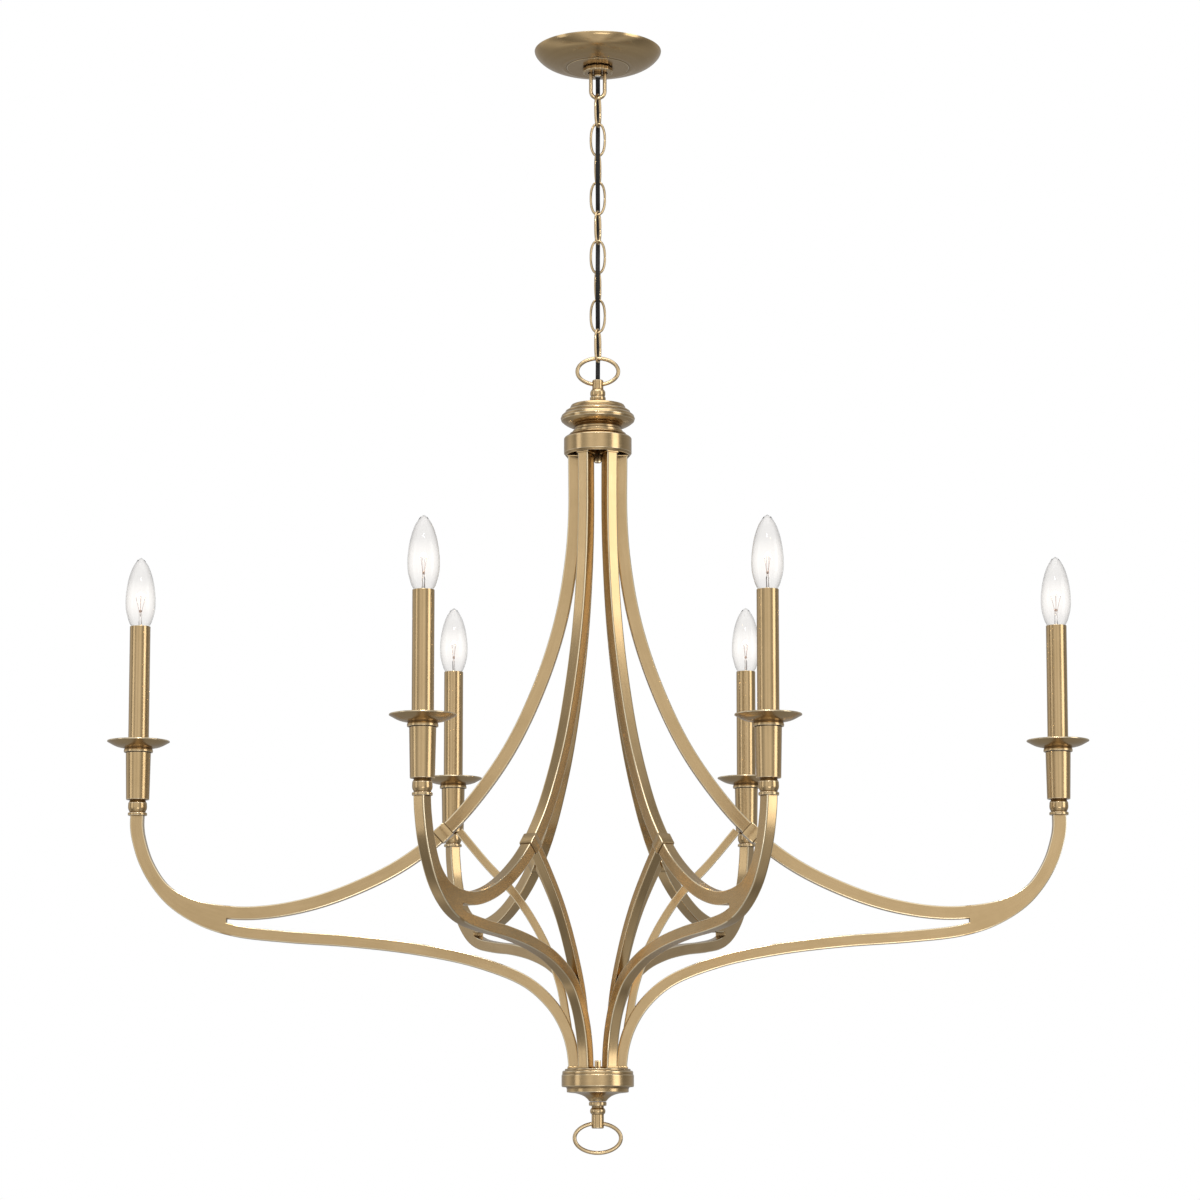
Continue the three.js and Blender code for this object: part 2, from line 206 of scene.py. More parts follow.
# ---- meshes ----
class Shell:
    """Collects closed surfaces in millimetres, with the brushing direction and an edge value that
    paints outside corners bright, as wear and highlight, and inside ones dark, as shade and grime.
    """

    def __init__(self):
        self.verts, self.faces, self.grain, self.edge = [], [], [], []

    def ring_strip(self, rings, grains, edges, close_rings=False):
        """Joins equal rings of points, each a closed loop, with quads that face outwards."""
        base, size = len(self.verts), len(rings[0])
        for ring, grain, edge in zip(rings, grains, edges):
            self.verts += [tuple(p) for p in ring]
            self.grain += [tuple(g) for g in grain]
            self.edge += list(edge)
        count = len(rings)
        for i in range(count if close_rings else count - 1):
            a, b = base + i * size, base + ((i + 1) % count) * size
            for j in range(size):
                k = (j + 1) % size
                self.faces.append((a + j, a + k, b + k, b + j))
        if not close_rings:
            self.faces.append(tuple(base + j for j in reversed(range(size))))
            self.faces.append(tuple(base + (count - 1) * size + j for j in range(size)))
        return self

    def lathe(self, outline, radius=0.5, segments=72, flutes=0, depth=0.0, drawn=False):
        """Turns [r, z] points about the axis. They run round the solid with it on their left."""
        pts = soften(outline, radius)
        ring = (Vector(pts[0][:2]) - Vector(pts[-1][:2])).length < 1e-6
        if ring:
            pts = pts[:-1]
        run, lengths = 0.0, []
        for i, p in enumerate(pts):
            if i:
                run += math.hypot(p[0] - pts[i - 1][0], p[1] - pts[i - 1][1])
            lengths.append(run)
        rings, grains, edges = [], [], []
        widest = max(p[0] for p in pts)
        for (r, z, e), s in zip(pts, lengths):
            loop, grain = [], []
            for j in range(segments):
                a = 2 * math.pi * j / segments
                dip = 0.0
                if flutes and r > widest - 1.6:
                    dip = depth * (0.5 + 0.5 * math.cos(flutes * a)) ** 3
                x, y = math.cos(a), math.sin(a)
                loop.append((max(r - dip, 1e-4) * x, max(r - dip, 1e-4) * y, z))
                grain.append((r * x / 0.6, r * y / 0.6, s / 30) if drawn
                             else (2.2 * x, 2.2 * y, s / 0.45))
            rings.append(loop)
            grains.append(grain)
            edges.append([e] * segments)
        return self.ring_strip(rings, grains, edges, close_rings=ring)

    def tube(self, points, radius, sides=20, closed=False, up=(0, 1, 0), radii=None):
        """A round wire along points, which lie in a plane whose normal is up, or nearly so."""
        pts = [Vector(p) for p in points]
        up = Vector(up)
        n, run = len(pts), 0.0
        rings, grains, edges = [], [], []
        for i, p in enumerate(pts):
            a = pts[i - 1] if closed or i else p
            b = pts[(i + 1) % n] if closed or i < n - 1 else p
            if i:
                run += (p - pts[i - 1]).length
            t = (b - a).normalized()
            side = up.cross(t).normalized()
            lift = t.cross(side)
            r = radii[i] if radii else radius
            loop, grain = [], []
            for j in range(sides):
                w = 2 * math.pi * j / sides
                loop.append(p + side * (r * math.cos(w)) + lift * (r * math.sin(w)))
                grain.append((run / 20, 1.6 * math.cos(w), 1.6 * math.sin(w)))
            rings.append(loop)
            grains.append(grain)
            # Every point gets a middling edge value, which paints the whole wire partly bright as wear
            # and highlight.
            edges.append([0.46] * sides)
        return self.ring_strip(rings, grains, edges, close_rings=closed)

    def ribbon(self, lower, upper, width, corner=1.1, insets=None, plain=(), dark=False):
        """A bar with rounded edges between two edge lines of (r, z) points, standing on y = 0.

        Its edges are painted bright, as wear and highlight, except at the plain points. A dark one is
        a band painted dark all over, as shade along a seam."""
        rings, grains, edges = [], [], []
        run, middle = 0.0, None
        for i, (a, b) in enumerate(zip(lower, upper)):
            centre = (a + b) / 2
            run += (centre - middle).length if middle is not None else 0.0
            middle = centre
            inset = insets[i] if insets else 0.0
            w, size = width / 2 - inset, (b - a).length
            along = (b - a) / size
            lo, hi = inset, size - inset
            c = min(corner, (hi - lo) / 3)
            k = c * 0.293
            s = min(0.9, (hi - lo) / 2 - c)
            section = [
                (w, lo + c, 0.6), (w, lo + c + s, 0), (w, hi - c - s, 0), (w, hi - c, 0.6),
                (w - k, hi - k, 1), (w - c, hi, 0.6), (w - c - 0.9, hi, 0),
                (c + 0.9 - w, hi, 0), (c - w, hi, 0.6), (k - w, hi - k, 1),
                (-w, hi - c, 0.6), (-w, hi - c - s, 0), (-w, lo + c + s, 0), (-w, lo + c, 0.6),
                (k - w, lo + k, 1), (c - w, lo, 0.6), (c + 0.9 - w, lo, 0),
                (w - c - 0.9, lo, 0), (w - c, lo, 0.6), (w - k, lo + k, 1),
            ]
            loop = []
            for y, v, _ in section:
                p = a + along * v
                loop.append((p.x, y, p.y))
            rings.append(loop)
            grains.append([(run / 26, y / 0.5, (v - size / 2) / 0.5) for y, v, _ in section])
            edges.append([-1.0 if dark else 0.0 if i in plain else e for _, _, e in section])
        return self.ring_strip(rings, grains, edges)

    def block(self, centre, slope, length, width, depth, corner=0.8, dark=False):
        """A small rounded block centred on (r, z), its length along slope."""
        t = Vector((math.cos(slope), math.sin(slope)))
        n = Vector((-t.y, t.x))
        c = Vector(centre)
        k = corner * 0.293
        at = [(0, corner), (k, k), (corner, 0), (length - corner, 0), (length - k, k),
              (length, corner)]
        lower = [c + t * (s - length / 2) - n * (depth / 2) for s, _ in at]
        upper = [c + t * (s - length / 2) + n * (depth / 2) for s, _ in at]
        return self.ribbon(lower, upper, width, corner, [i for _, i in at], dark=dark)

    def mesh(self, name, material):
        mesh = bpy.data.meshes.new(name)
        mesh.from_pydata([[c * MM for c in v] for v in self.verts], [], self.faces)
        grain = mesh.attributes.new("grain", "FLOAT_VECTOR", "POINT")
        grain.data.foreach_set("vector", [c for g in self.grain for c in g])
        edge = mesh.attributes.new("edge", "FLOAT", "POINT")
        edge.data.foreach_set("value", self.edge)
        mesh.materials.append(material)
        mesh.shade_smooth()
        mesh.set_sharp_from_angle(angle=math.radians(SHARP_EDGE))
        return mesh


def piece(name, mesh, body, nodes=(), at=(0, 0, 0), turn=0.0):
    """One object of the model: placed, riding on its body, and standing for its CAD nodes."""
    obj = bpy.data.objects.new(name, mesh)
    obj.matrix_world = Matrix.Translation([c * MM for c in at]) @ Matrix.Rotation(turn, 4, "Z")
    scene.collection.objects.link(obj)
    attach(obj, body)
    if nodes:
        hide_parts(*nodes)
    return obj


# ---- materials ----
class Nodes:
    """A small wrapper that makes node trees readable."""

    def __init__(self, name):
        self.material = bpy.data.materials.new(name)
        self.material.use_nodes = True
        self.tree = self.material.node_tree
        self.shader = self.tree.nodes["Principled BSDF"]

    def node(self, kind, inputs=None, **settings):
        made = self.tree.nodes.new(kind)
        for key, value in settings.items():
            setattr(made, key, value)
        for key, value in (inputs or {}).items():
            if isinstance(value, bpy.types.NodeSocket):
                self.tree.links.new(value, made.inputs[key])
            else:
                made.inputs[key].default_value = value
        return made

    def noise(self, vector, scale, detail=3.0, rough=0.55):
        return self.node("ShaderNodeTexNoise", {"Vector": vector, "Scale": scale,
                                                "Detail": detail, "Roughness": rough}).outputs[0]

    def span(self, value, low, high, to_low, to_high):
        return self.node("ShaderNodeMapRange", {0: value, 1: low, 2: high, 3: to_low,
                                                4: to_high}).outputs[0]

    def math(self, operation, a, b):
        return self.node("ShaderNodeMath", {0: a, 1: b}, operation=operation).outputs[0]

    def stretch(self, vector, factors):
        return self.node("ShaderNodeVectorMath", {0: vector, 1: factors},
                         operation="MULTIPLY").outputs[0]

    def blend(self, factor, a, b):
        made = self.node("ShaderNodeMix", data_type="RGBA")
        for socket, value in ((made.inputs[0], factor), (made.inputs[6], a), (made.inputs[7], b)):
            if isinstance(value, bpy.types.NodeSocket):
                self.tree.links.new(value, socket)
            else:
                socket.default_value = value
        return made.outputs[2]

    def link(self, value, socket):
        self.tree.links.new(value, self.shader.inputs[socket])

    def bump(self, height, strength, distance):
        made = self.node("ShaderNodeBump", {"Height": height, "Strength": strength,
                                            "Distance": distance})
        self.link(made.outputs[0], "Normal")


def brushed_metal(name, tones, wear_and_highlight, grime_and_shade, roughness, bump=0.10):
    """Brushed metal: streaks along the grain, a mottled patina, outside edges painted bright as wear
    and highlight, inside corners and crevices painted dark as shade and grime.
    """
    m = Nodes(name)
    grain = m.node("ShaderNodeAttribute", attribute_name="grain").outputs["Vector"]
    edge = m.node("ShaderNodeAttribute", attribute_name="edge").outputs["Fac"]
    place = m.node("ShaderNodeTexCoord").outputs["Object"]
    fine = m.noise(grain, 1.0, 2.0)
    broad = m.noise(m.stretch(grain, (0.6, 0.16, 0.16)), 1.0, 3.0)
    cloud = m.noise(place, 26.0, 4.0, 0.6)
    base = m.blend(m.span(broad, 0.3, 0.7, 0, 1), tones[0], tones[1])
    base = m.blend(m.span(cloud, 0.42, 0.68, 0, 0.55), base, tones[2])
    # Outside corners blend towards the bright tone: part edge wear, part painted highlight.
    wear_and_highlight_mask = m.math("MULTIPLY", m.span(edge, 0.35, 1.0, 0, 1), m.span(cloud, 0.3, 0.6, 0.55, 1))
    base = m.blend(wear_and_highlight_mask, base, wear_and_highlight)
    # Ambient occlusion and inside corners blend towards the dark tone: painted shade in the crevices,
    # with some grime.
    occlusion_shade = m.node("ShaderNodeAmbientOcclusion", {"Distance": 0.006}, samples=8).outputs["AO"]
    grime_and_shade_mask = m.math("MAXIMUM", m.span(edge, -0.2, -1.0, 0, 0.8), m.span(occlusion_shade, 0.25, 0.78, 0.85, 0))
    base = m.blend(grime_and_shade_mask, base, grime_and_shade)
    m.link(base, "Base Color")
    m.shader.inputs["Metallic"].default_value = 1.0
    rough = m.math("ADD", m.span(fine, 0.25, 0.75, roughness - 0.03, roughness + 0.04),
                   m.math("MULTIPLY", grime_and_shade_mask, 0.25))
    m.link(m.math("SUBTRACT", rough, m.math("MULTIPLY", wear_and_highlight_mask, 0.08)), "Roughness")
    m.bump(fine, bump, 0.0004)
    return m.material


def braid():
    """Black woven cord jacket, its strands crossing along the grain."""
    m = Nodes("woven_cord")
    grain = m.node("ShaderNodeAttribute", attribute_name="grain").outputs["Vector"]
    split = m.node("ShaderNodeSeparateXYZ", {0: grain})
    one = m.math("ADD", split.outputs[0], split.outputs[1])
    two = m.math("SUBTRACT", split.outputs[0], split.outputs[1])
    waves = [m.math("SINE", m.math("MULTIPLY", w, 2 * math.pi), 0.0) for w in (one, two)]
    height = m.span(m.math("MULTIPLY", waves[0], waves[1]), -1, 1, 0, 1)
    m.link(m.blend(height, (0.004, 0.004, 0.004, 1), (0.014, 0.013, 0.012, 1)), "Base Color")
    m.link(m.span(height, 0, 1, 0.75, 0.5), "Roughness")
    m.shader.inputs["Sheen Weight"].default_value = 0.04
    m.shader.inputs["Specular IOR Level"].default_value = 0.25
    m.bump(height, 0.6, 0.0004)
    return m.material


def moulded(name, colour, roughness):
    """A plain moulded or ceramic surface with a little mottling."""
    m = Nodes(name)
    place = m.node("ShaderNodeTexCoord").outputs["Object"]
    speck = m.noise(place, 900.0, 3.0)
    dark = tuple(c * 0.7 for c in colour[:3]) + (1,)
    m.link(m.blend(m.span(speck, 0.35, 0.65, 0, 1), dark, colour), "Base Color")
    m.link(m.span(speck, 0.3, 0.7, roughness - 0.06, roughness + 0.08), "Roughness")
    m.bump(speck, 0.15, 0.0002)
    return m.material


FILAMENT_MIDDLE = (0, 0, 0.152)


def clear_glass():
    """Clear lamp glass, painted grey where it is seen edge on as painted shade, with a painted glow
    round the filament.
    """
    m = Nodes("clear_glass")
    # Grey painted towards the glass's edges, in place of the dark outlines that reflection and
    # refraction give there.
    facing = m.node("ShaderNodeLayerWeight", {"Blend": 0.35}).outputs["Facing"]
    rim = m.span(facing, 0.15, 0.95, 0, 1)
    m.link(m.blend(rim, (0.93, 0.92, 0.91, 1), (0.40, 0.39, 0.38, 1)), "Base Color")
    # Emission on the glass near the filament: a painted glow.
    place = m.node("ShaderNodeTexCoord").outputs["Object"]
    away = m.node("ShaderNodeVectorMath", {0: place, 1: FILAMENT_MIDDLE}, operation="DISTANCE")
    m.link(m.span(away.outputs["Value"], 0.005, 0.026, 0.10, 0), "Emission Strength")
    m.shader.inputs["Emission Color"].default_value = (1, 0.94, 0.86, 1)
    m.shader.inputs["Roughness"].default_value = 0.01
    m.shader.inputs["IOR"].default_value = 1.3
    m.shader.inputs["Transmission Weight"].default_value = 1.0
    return m.material


def glowing(name, colour, strength):
    m = Nodes(name)
    m.shader.inputs["Base Color"].default_value = (0.05, 0.04, 0.03, 1)
    m.shader.inputs["Emission Color"].default_value = colour
    m.shader.inputs["Emission Strength"].default_value = strength
    return m.material


# After the three base tones come the bright tone of worn, highlit edges and the dark tone of painted
# shade and grime in crevices.
BRASS = brushed_metal("satin_brass", ((0.50, 0.355, 0.185, 1), (0.55, 0.395, 0.21, 1),
                                      (0.455, 0.32, 0.16, 1)),
                      (0.97, 0.85, 0.62, 1), (0.09, 0.05, 0.022, 1), 0.2, 0.015)
STEEL = brushed_metal("zinc_steel", ((0.52, 0.52, 0.50, 1), (0.60, 0.60, 0.59, 1),
                                     (0.45, 0.45, 0.45, 1)),
                      (0.80, 0.80, 0.78, 1), (0.12, 0.11, 0.10, 1), 0.38)
BASE_METAL = brushed_metal("lamp_base_metal", ((0.62, 0.55, 0.40, 1), (0.70, 0.62, 0.45, 1),
                                               (0.55, 0.48, 0.34, 1)),
                           (0.9, 0.84, 0.66, 1), (0.10, 0.08, 0.05, 1), 0.28)
WIRE_METAL = brushed_metal("lamp_lead_wire", ((0.45, 0.30, 0.24, 1), (0.52, 0.36, 0.30, 1),
                                              (0.38, 0.26, 0.2, 1)),
                           (0.6, 0.5, 0.42, 1), (0.1, 0.06, 0.05, 1), 0.35)
CORD = braid()
SOCKET = moulded("socket_phenolic", (0.022, 0.020, 0.018, 1), 0.5)
GLASS = clear_glass()
FILAMENT = glowing("lamp_filament", (1.0, 0.78, 0.52, 1), 260)


# ---- supply cord, one piece from the middle of each link to the next ----
BRAID_TURN, BRAID_STRANDS, SHORTEST_CORD = 5.2, 6, 0.03


def cord_route():
    points = [(0, 0, -12), (0, 0, -28), (0, 0, -32), (0, 4.5, -40), (0, 11.5, -53)]
    for k in range(1, LINK_COUNT + 1):
        middle = link_middle(k)
        if k % 2 == 0:
            points.append((0, 0, middle))
            continue
        y = 13 if k % 4 == 1 else -13
        if k > 1:
            points.append((0, y * 0.96, middle + 12))
        points.append((0, y, middle))
        if k < LINK_COUNT:
            points.append((0, y * 0.96, middle - 12))
    return catmull([*points, (0, 9, -346), (0, 1.2, -357), (0, 0, -361), (0, 0, -365)], 8)


def cord_piece(name, route, turns):
    """A woven tube along route, its braid going on from turns; returns it and the braid's run at its
    end.
    """
    shell = Shell()
    sides, run = 20, turns
    rings, grains, edges = [], [], []
    for i, p in enumerate(route):
        if i:
            run += (p - route[i - 1]).length / BRAID_TURN
        t = (route[min(i + 1, len(route) - 1)] - route[max(i - 1, 0)]).normalized()
        side = Vector((1, 0, 0))
        lift = t.cross(side).normalized()
        loop, grain = [], []
        for j in range(sides):
            w = 2 * math.pi * j / sides
            loop.append(p + lift * (CORD_R * math.cos(w)) + side * (CORD_R * math.sin(w)))
            grain.append((run, BRAID_STRANDS * abs(2 * j / sides - 1), 0))
        rings.append(loop[::-1])
        grains.append(grain[::-1])
        edges.append([0.0] * sides)
    shell.ring_strip(rings, grains, edges)
    obj = bpy.data.objects.new(name, shell.mesh(name, CORD))
    scene.collection.objects.link(obj)
    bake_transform(obj)
    return obj, run


def supply_cord():
    route = cord_route()
    bodies = ["ceiling_mount", *(f"link_{k}" for k in range(1, LINK_COUNT + 1)), "top_ring",
              "frame"]
    cuts = [0]
    for k in range(1, LINK_COUNT + 1):
        cuts.append(min(range(len(route)), key=lambda i: abs(route[i].z - link_middle(k))))
    cuts.append(min(range(len(route)), key=lambda i: abs(route[i].z - TOP_RING_Z)))
    cuts.append(len(route) - 1)
    turns = 0.0
    for i, (a, b) in enumerate(zip(bodies, bodies[1:])):
        made, turns = cord_piece(f"cord_length_{i + 1}", route[cuts[i] : cuts[i + 1] + 1],
                                 turns)
        if i == 0:
            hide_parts("supply_cord")


supply_cord()


# ---- ceiling mount ----
def bent_loop():
    shell = Shell()
    shell.lathe([[4.4, -24], [9.4, -24], [9.4, -8], [4.4, -8], [4.4, -24]], 0.5)
    shell.lathe([[2.6, -28.6], [4.3, -28.6], [4.3, -22], [2.6, -22], [2.6, -28.6]], 0.4, 48)
    floor = LOOP_FLOOR_Z - LOOP_WIRE + LOOP_HALF
    points = [(-LOOP_HALF, 0, z) for z in (-20, -26, -32, -38)]
    for i in range(25):
        a = math.pi + math.pi * i / 24
        points.append((LOOP_HALF * math.cos(a), 0, floor + LOOP_HALF * math.sin(a)))
    points += [(LOOP_HALF, 0, z) for z in (-38, -32, -26, -20)]
    shell.tube(points, LOOP_WIRE, 24)
    return shell.mesh("canopy_loop_wire", BRASS)


def crossbar_mesh():
    """Steel strap with rounded ends and its edges broken; drilled cuts its holes."""
    outline = []
    for side in (1, -1):
        for i in range(13):
            a = -math.pi / 2 + math.pi * i / 12 if side == 1 else math.pi / 2 + math.pi * i / 12
            outline.append((side * STRAP_HALF + STRAP_END_R * math.cos(a), STRAP_END_R * math.sin(a)))
    shell = Shell()
    rings, grains, edges = [], [], []
    for z, inset, e in ((-2, 0.3, 0.6), (-1.7, 0, 1), (-0.3, 0, 1), (0, 0.3, 0.6)):
        loop = []
        for x, y in outline:
            past = max(abs(x) - STRAP_HALF, 0)
            length = math.hypot(past, y) or 1
            loop.append((x - math.copysign(past / length * inset, x),
                         y - y / length * inset, z))
        rings.append(loop)
        grains.append([(x / 20, y / 0.6, z) for x, y, _ in loop])
        edges.append([e] * len(loop))
    return shell.ring_strip(rings, grains, edges).mesh("crossbar_strap", STEEL)


def drilled(obj, holes):
    """Cuts round holes through obj with a cutter that it removes afterwards."""
    shell = Shell()
    for x, r in holes:
        start = len(shell.verts)
        shell.lathe([[0, -4], [r, -4], [r, 2], [0, 2]], 0.05, 32)
        shell.verts[start:] = [(vx + x, vy, vz) for vx, vy, vz in shell.verts[start:]]
    cutter = bpy.data.objects.new(obj.name + "_holes", shell.mesh(obj.name + "_holes", STEEL))
    cut = obj.modifiers.new("holes", "BOOLEAN")
    cut.operation, cut.solver, cut.object = "DIFFERENCE", "EXACT", cutter
    scene.collection.objects.link(cutter)
    bpy.context.view_layer.update()
    evaluated = obj.evaluated_get(bpy.context.evaluated_depsgraph_get())
    mesh = bpy.data.meshes.new_from_object(evaluated)
    obj.modifiers.clear()
    obj.data = mesh
    mesh.shade_smooth()
    mesh.set_sharp_from_angle(angle=math.radians(30))
    bpy.data.objects.remove(cutter)


def threaded(shell, radius, low, high, bore=0.0, pitch=1.0, depth=0.35):
    """A rod whose surface rises and falls like a thread, between low and high."""
    outline = [[bore, low], [radius - depth, low]]
    count = int((high - low) / pitch)
    for i in range(count):
        z = low + (high - low) * (i + 0.5) / count
        half = (high - low) / count / 2
        outline += [[radius, z], [radius - depth, z + half]]
    outline += [[bore, high]]
    if bore:
        outline.append(outline[0])
    return shell.lathe(outline, 0.12, 40)


def hexagon(shell, across, low, high):
    """A hexagonal nut with its corners turned off."""
    rings, grains, edges = [], [], []
    chamfer = min(0.8, (high - low) / 4)
    for z, cut, e in ((low, chamfer, 0.5), (low + chamfer, 0, 1), (low + chamfer * 2, 0, 0),
                      (high - chamfer * 2, 0, 0), (high - chamfer, 0, 1), (high, chamfer, 0.5)):
        loop, grain = [], []
        for j in range(48):
            a = 2 * math.pi * j / 48
            local = (a + math.pi / 6) % (math.pi / 3) - math.pi / 6
            r = across * math.cos(math.pi / 6) / math.cos(local)
            r = min(r, across - cut, across - 0.15)
            loop.append((r * math.cos(a), r * math.sin(a), z))
            grain.append((3 * math.cos(a), 3 * math.sin(a), z / 0.5))
        rings.append(loop)
        grains.append(grain)
        edges.append([e] * 48)
    return shell.ring_strip(rings, grains, edges)


strap = piece("crossbar_strap", crossbar_mesh(), "ceiling_mount", ["ceiling_crossbar"])
drilled(strap, ((0, 4.3), (-44, 2.6), (44, 2.6)))
rod = threaded(Shell(), 3.95, -30, -0.3, 2.9)
hexagon(rod, 6.2, -5.5, -2.3)
piece("threaded_nipple", rod.mesh("threaded_nipple", STEEL), "ceiling_mount",
      ["mounting_nipple"])
piece("canopy_loop_wire", bent_loop(), "ceiling_mount", ["canopy_loop"])

CANOPY = [[13, -19], [33.5, -19], [34.2, -18.3], [38.2, -18.3], [39.5, -18], [50, -15.8],
          [60, -11.2], [66.3, -5.6], [68.5, -2.2], [69, 0], [67.6, 0], [65, -4.6],
          [58.6, -10], [48.6, -14.5], [38, -17.4], [13, -17.4], [13, -19]]
piece("canopy_pan", Shell().lathe(CANOPY, 0.5, 128).mesh("canopy_pan", BRASS), "canopy",
      ["canopy"])
COLLAR = [[10.8, -25], [15.2, -25], [16.4, -24], [16.4, -20.3], [15.4, -19.3], [10.8, -19.3],
          [10.8, -25]]
piece("collar_knurled_ring", Shell().lathe(COLLAR, 0.4, 144, 12, 0.9)
      .mesh("collar_knurled_ring", BRASS), "collar", ["canopy_collar_ring"])


# ---- chain ----
def link_mesh():
    """One wire link, bent to a long oval and butted together half way up one side."""
    tall = LINK_INNER / 2 + LINK_WIRE
    points, count = [], 64
    for i in range(count + 1):
        a = 2 * math.pi * (0.0008 + 0.9984 * i / count)
        x, z = math.cos(a), math.sin(a)
        points.append((LINK_HALF * math.copysign(abs(x) ** 0.86, x), 0,
                       tall * math.copysign(abs(z) ** 0.86, z)))
    radii = [LINK_WIRE] * len(points)
    radii[0] = radii[-1] = LINK_WIRE - 0.15
    return Shell().tube(points, LINK_WIRE, 20, radii=radii).mesh("chain_link", BRASS)


LINK_MESH = link_mesh()
for k in range(1, LINK_COUNT + 1):
    piece(f"wire_link_{k}", LINK_MESH, f"link_{k}", [f"chain_link_{k}"],
          (0, 0, link_middle(k)), math.radians(LINK_TURN) if k % 2 else 0.0)


def oval(a, b, z, count=72):
    return [(a * math.cos(2 * math.pi * i / count), 0, z + b * math.sin(2 * math.pi * i / count))
            for i in range(count)]


for name, (a, b, z), body, node in (
        ("hanger_oval", (TOP_RING_A, TOP_RING_B, TOP_RING_Z), "top_ring", "hanger_ring"),
        ("finial_oval", (END_RING_A, END_RING_B, END_RING_Z), "end_ring", "finial_ring")):
    piece(name, Shell().tube(oval(a, b, z), RING_WIRE, 24, closed=True).mesh(name, BRASS), body,
          [node])

# ---- turned hubs ----
HOLDER = [[0, -391.5], [12.6, -391.5], [12.2, -390.6], [9.6, -389.2], [8.2, -388],
          [8.5, -387], [8.5, -384.6], [7.4, -383.8], [8.1, -381.8], [8.1, -378.4], [6.9, -376.4],
          [6, -375.8], [6, -366.2], [5.2, -365.4], [0, -365.4]]
CAP = [[0, -424], [27, -424], [27, -421.5], [25, -420.6], [25, -418], [29.5, -416.4],
       [35.5, -413.4], [39.2, -410.4], [40, -407.6], [38.8, -404.6], [36, -402.4], [35.2, -402],
       [34.8, -400], [31.4, -398], [30.2, -397.4], [29.6, -395.2], [28.6, -393.4], [15, -391.8],
       [0, -391.8]]
DRUM = [[0, -436], [33.4, -436], [33.4, -448.4], [34.6, -448.2], [36.4, -445.8],
        [36.4, -430], [35.6, -428.8], [31, -426.2], [30.2, -424.3], [0, -424.3]]
LOWER_HUB = [[0, -1139.6], [9, -1139.6], [10.6, -1137.4], [14.4, -1134.2], [22, -1131.4],
             [30, -1130.4], [32.6, -1130], [32.8, -1126], [33.6, -1124.8], [37.6, -1124.4],
             [38.2, -1123.4], [38.2, -1112.2], [37.4, -1111], [37.4, -1108.4], [36.6, -1107.4],
             [34.6, -1107.2], [34.6, -1105.4], [0, -1105.4]]
FINIAL = [[0, -1168], [5.6, -1168], [6.5, -1167], [6.5, -1153], [7.4, -1152.4], [8.1, -1150.6],
          [8.1, -1148.4], [7, -1146.8], [6.3, -1146], [6.3, -1144.6], [9.2, -1144],
          [9.4, -1140.8], [8.6, -1139.9], [0, -1139.9]]
for name, outline, node in (("ring_holder_turned", HOLDER, "ring_holder"),
                            ("cap_turned", CAP, "upper_cap"),
                            ("drum_turned", DRUM, "upper_hub"),
                            ("lower_hub_turned", LOWER_HUB, "lower_hub"),
                            ("finial_turned", FINIAL, "finial_post")):
    piece(name, Shell().lathe(outline, 0.45, 112).mesh(name, BRASS), "frame", [node])
for name, (across, low, high), node in (("upper_nut", (4, -456, -436.3), "upper_hub_nut"),
                                        ("lower_nut", (3.8, -1105.1, -1096.5), "lower_hub_nut")):
    piece(name, hexagon(Shell(), across, low, high).mesh(name, BRASS), "frame", [node])

# ---- arms ----
UPPER_PATH = [[25, BAR_TOP_Z], [25, -520], [29.5, -572], [40.3, -631], [60.7, -695],
              [90.5, -760], [122, -808], [158, -850], [204, -887], [256, -914], [308, -932],
              [360, -940.5], [398, -939.5], [432, -932.5], [460, -916.5], [479, -889],
              [488, -862], [490, -849], [490, -838]]
LOWER_PATH = [[25, BAR_BOTTOM_Z], [25.2, -1099], [27.6, -1082], [34, -1062], [48, -1038.5],
              [75, -1014], [127, -993], [190, -979.5], [260, -971], [330, -966], [385, -959.5],
              [420, -948.5], [452, -928], [474, -900.5], [486, -873], [490, -852]]
LONG_BRACE = [[147, -854], [117.7, -889], [88, -921], [66, -954], [49.5, -988], [39, -1020],
              [33.5, -1050], [30, -1072]]
SHORT_BRACE = [[130, -878], [106, -905], [84, -933], [66, -962], [51.5, -992], [40, -1022],
               [33.5, -1050], [30, -1072]]


def reach_to(path, reach):
    k = (reach - HUB_BAR_R) / (LONG_REACH - HUB_BAR_R)
    return [(HUB_BAR_R + (r - HUB_BAR_R) * k, z) for r, z in path]


def normals(path):
    """The right hand normal of each point of a path."""
    out = []
    for i in range(len(path)):
        t = (path[min(i + 1, len(path) - 1)] - path[max(i - 1, 0)]).normalized()
        out.append(Vector((t.y, -t.x)))
    return out


def crossing(p, n, line):
    """How far along n from p the line of points is crossed, or None."""
    for a, b in zip(line, line[1:]):
        d, w = b - a, a - p
        k = n.x * d.y - n.y * d.x
        if abs(k) < 1e-9:
            continue
        along, part = (w.x * d.y - w.y * d.x) / k, (w.x * n.y - w.y * n.x) / k
        if -6 < along < 60 and 0 <= part <= 1:
            return along
    return None


